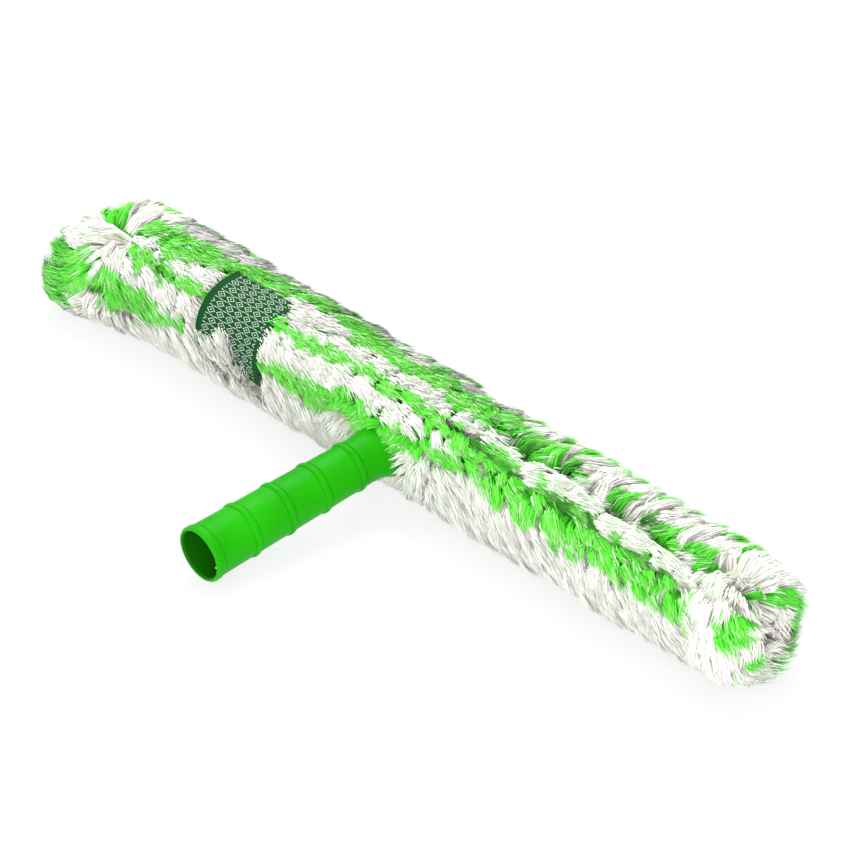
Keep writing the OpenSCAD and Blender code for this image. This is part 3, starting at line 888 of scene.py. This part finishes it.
class SCRUBBER_OT_stage(bpy.types.Operator):
    """Makes the floor, the lamps, the sky and the camera"""

    bl_idname = "scrubber.stage"
    bl_label = "Stage"

    def execute(self, context):
        settings = context.scene.scrubber_stage
        self.make_floor()
        aim = Vector((0, AXIS_Y, 0))
        self.add_lamp("key_lamp", aim + KEY_PLACE, aim, KEY_SIZE, settings.key_power)
        self.add_lamp("fill_lamp", aim + FILL_PLACE, aim, FILL_SIZE, settings.fill_power)
        self.make_sky(settings.sky)
        self.make_camera(aim)
        context.scene.view_settings.view_transform = "Standard"
        return {"FINISHED"}

    @staticmethod
    def make_floor():
        """The floor touches the sleeve's underside and the lip of the handle's mouth."""
        sleeve_low = CORE_Z + BED_RADIUS + PILE_BELOW_BED
        slope = math.asin((sleeve_low - LIP_RADIUS) / AXIS_Y)
        bm = bmesh.new()
        bmesh.ops.create_grid(bm, x_segments=2, y_segments=2, size=FLOOR_SIZE)
        bmesh.ops.rotate(bm, verts=bm.verts, matrix=Matrix.Rotation(-slope, 3, "X"))
        bmesh.ops.translate(bm, verts=bm.verts, vec=(0, 0, -LIP_RADIUS - FLOOR_GAP))
        mesh_object(bm, "studio_floor", floor_material())

    @staticmethod
    def add_lamp(name, place, aim, size, power):
        lamp = bpy.data.lights.new(name, "AREA")
        lamp.shape, lamp.size, lamp.energy = "DISK", size, power
        obj = bpy.data.objects.new(name, lamp)
        obj.location = place
        obj.rotation_euler = (aim - place).to_track_quat("-Z", "Y").to_euler()
        bpy.context.scene.collection.objects.link(obj)

    @staticmethod
    def make_sky(strength):
        world = bpy.data.worlds.new("studio_sky")
        world.use_nodes = True
        bpy.context.scene.world = world
        tree = world.node_tree
        path = tree.nodes.new("ShaderNodeLightPath")
        seen = tree.nodes.new("ShaderNodeMath")
        seen.operation = "MAXIMUM"
        tree.links.new(path.outputs["Is Camera Ray"], seen.inputs[0])
        tree.links.new(path.outputs["Is Glossy Ray"], seen.inputs[1])
        level = tree.nodes.new("ShaderNodeMapRange")
        level.inputs["To Min"].default_value = strength
        level.inputs["To Max"].default_value = 1.0
        tree.links.new(seen.outputs[0], level.inputs["Value"])
        sky = tree.nodes["Background"]
        sky.inputs["Color"].default_value = (1.0, 1.0, 1.0, 1.0)
        tree.links.new(level.outputs[0], sky.inputs["Strength"])

    @staticmethod
    def make_camera(aim):
        """Long lens, as far round and above the object as in the photograph."""
        towards = CAMERA_TOWARDS.normalized()
        right = CAMERA_RIGHT.normalized()
        up = towards.cross(right)
        camera = bpy.data.cameras.new("camera")
        camera.sensor_width, camera.lens = 36, CAMERA_LENS
        camera.shift_x, camera.shift_y = CAMERA_SHIFT
        camera.clip_start, camera.clip_end = 0.1, 60
        obj = bpy.data.objects.new("camera", camera)
        turn = Matrix((right, up, towards)).transposed().to_4x4()
        obj.matrix_world = Matrix.Translation(aim + towards * CAMERA_DISTANCE) @ turn
        bpy.context.scene.collection.objects.link(obj)
        bpy.context.scene.camera = obj


class SCRUBBER_OT_t_bar(bpy.types.Operator):
    """Finishes the moulded T-bar"""

    bl_idname = "scrubber.t_bar"
    bl_label = "T-bar"

    def execute(self, context):
        dress("t_bar", plastic_material(context.scene.scrubber_plastic))
        return {"FINISHED"}


class SCRUBBER_OT_cloth_and_tapes(bpy.types.Operator):
    """Makes the ground cloth, bindings, tapes and sewing of the sleeve and its closure"""

    bl_idname = "scrubber.cloth_and_tapes"
    bl_label = "Cloth, tapes and sewing"

    def execute(self, context):
        knit = woven_material("knitted_ground", (0.62, 0.66, 0.56), 0.9 * MM)
        binding = woven_material("binding_tape", (0.012, 0.11, 0.02), 0.6 * MM)
        tape = woven_material("hook_and_loop_tape", (0.05, 0.26, 0.045), 0.8 * MM, 1.2)
        thread = thread_material()
        pieces = {}
        for node, name, material, slot, body, pucker in (
            ("ground_cloth", "sleeve_ground", knit, "ground_cloth", "washer", 0.12),
            ("flap_ground_cloth", "flap_ground", knit, "ground_cloth", "closure_flap", 0.12),
            ("neck_binding", "neck_edge_tape", binding, "binding", "washer", 0.05),
            ("underlay_binding", "underlay_edge_tape", binding, "binding", "washer", 0.05),
            ("flap_binding", "flap_edge_tape", binding, "binding", "closure_flap", 0.05),
            ("loop_tape", "loop_strip", tape, "tape", "washer", 0.04),
            ("hook_tape", "hook_strip", tape, "tape", "closure_flap", 0.04),
        ):
            pieces[name] = soft_copy(node, name, material, pucker * MM)
            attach(pieces[name], body)
        for node, name, body in (
            ("closure_bar_tack", "closure_bar_stitches", "washer"),
            ("front_seam_thread", "front_seam_stitches", "washer"),
            ("left_end_seam_thread", "left_end_stitches", "washer"),
            ("right_end_seam_thread", "right_end_stitches", "washer"),
            ("label_stitching", "label_stitches", "closure_flap"),
        ):
            stitches = stitch_row(node, name, thread)
            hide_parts(node)
            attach(stitches, body)
        for node, name, body, side in (
            ("hook_tape", "hook_field", "closure_flap", 1),
            ("loop_tape", "loop_field", "washer", -1),
        ):
            pieces[name] = hook_field(node, name, tape, side)
            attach(pieces[name], body)
        return {"FINISHED"}


class SCRUBBER_OT_pile(bpy.types.Operator):
    """Makes the plush pile of the sleeve and of its closure flap"""

    bl_idname = "scrubber.pile"
    bl_label = "Pile"

    def execute(self, context):
        settings = context.scene.scrubber_pile
        material = fibre_material(settings)
        for node, name, body in (
            ("pile_cloth", "sleeve_pile_bed", "washer"),
            ("flap_pile", "flap_pile_bed", "closure_flap"),
        ):
            bed = bed_object(node, name, material)
            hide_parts(node)
            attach(bed, body)
        locks = plant_locks(settings)
        u, s = locks["root"].T
        on_flap = (u > FLAP_LOW.x) & (u < FLAP_HIGH.x) & (s > FLAP_LOW.z) & (
            s < TOP_ARC + CORE_Y + FLAP_HIGH.y - AXIS_Y)
        areas = [(side, (s >= low) & (s < high)) for side, low, high in SIDES]
        areas.append(("back", (s < SIDES[0][1]) | (s >= SIDES[-1][2])))
        covered = np.zeros(len(u), bool)
        for stretch, start, end in STRETCHES:
            here = (u >= start) & (u < end)
            pieces = [(f"{stretch}_{side}_tufts", "washer", here & area & ~on_flap)
                      for side, area in areas]
            pieces.append((f"flap_{stretch}_tufts", "closure_flap", here & on_flap))
            for name, body, chosen in pieces:
                covered |= chosen
                self.add_piece(locks, chosen, name, body, settings, material)
        if not covered.all():
            raise RuntimeError("some locks belong to no piece of the sleeve")
        return {"FINISHED"}

    @staticmethod
    def add_piece(locks, chosen, name, body, settings, material):
        if not chosen.any():
            return
        part = {key: values[chosen] for key, values in locks.items()}
        obj = tuft_object(name, part, settings.lock_width, material)
        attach(obj, body)


class SCRUBBER_OT_label(bpy.types.Operator):
    """Makes the woven label that comes out of the closure and lies over the flap"""

    bl_idname = "scrubber.label"
    bl_label = "Label"

    def execute(self, context):
        settings = context.scene.scrubber_label
        bm = bmesh.new()
        bmesh.ops.create_grid(bm, x_segments=24, y_segments=30, size=0.5)
        uv = bm.loops.layers.uv.new("weave")
        for face in bm.faces:
            for loop in face.loops:
                loop[uv].uv = (loop.vert.co.x + 0.5, loop.vert.co.y + 0.5)
        start, end = LABEL_LOW.z, TOP_ARC + CORE_Y + LABEL_HIGH.y - AXIS_Y
        radius = SKIN_RADIUS + 1.0 * MM
        for vert in bm.verts:
            share_u, share_s = vert.co.x + 0.5, vert.co.y + 0.5
            u = LABEL_LOW.x + (LABEL_HIGH.x - LABEL_LOW.x) * share_u
            s = start + (end - start) * share_s
            ripple = 0.5 * MM * math.sin(share_u * 7 + share_s * 3)
            vert.co = skin(np.array(u), np.array(s), radius + ripple).tolist()
        bmesh.ops.recalc_face_normals(bm, faces=bm.faces)
        obj = mesh_object(bm, "woven_label", label_material(settings))
        wall = obj.modifiers.new("thickness", "SOLIDIFY")
        wall.thickness, wall.offset = settings.thickness, 0
        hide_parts("label")
        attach(obj, "label_tab")
        return {"FINISHED"}


OPERATORS = (
    SCRUBBER_OT_stage, SCRUBBER_OT_t_bar, SCRUBBER_OT_cloth_and_tapes, SCRUBBER_OT_pile,
    SCRUBBER_OT_label,
)
SETTINGS = {
    "scrubber_plastic": PlasticSettings, "scrubber_pile": PileSettings,
    "scrubber_label": LabelSettings, "scrubber_stage": StageSettings,
}


class SCRUBBER_PT_panel(bpy.types.Panel):
    """Lists the scrubber's settings and its building steps"""

    bl_idname = "SCRUBBER_PT_panel"
    bl_label = "Window Scrubber"
    bl_space_type = "VIEW_3D"
    bl_region_type = "UI"
    bl_category = "Scrubber"

    def draw(self, context):
        layout = self.layout
        for name, group in SETTINGS.items():
            box = layout.box()
            for key in group.__annotations__:
                box.prop(getattr(context.scene, name), key)
        for operator in OPERATORS:
            layout.operator(operator.bl_idname)


CLASSES = (*SETTINGS.values(), *OPERATORS, SCRUBBER_PT_panel)


def register():
    for cls in CLASSES:
        bpy.utils.register_class(cls)
    for name, group in SETTINGS.items():
        setattr(bpy.types.Scene, name, PointerProperty(type=group))


def unregister():
    for name in SETTINGS:
        delattr(bpy.types.Scene, name)
    for cls in reversed(CLASSES):
        bpy.utils.unregister_class(cls)


def main():
    register()
    bpy.ops.scrubber.stage()
    bpy.ops.scrubber.t_bar()
    bpy.ops.scrubber.cloth_and_tapes()
    bpy.ops.scrubber.pile()
    bpy.ops.scrubber.label()


if __name__ == "__main__":
    main()
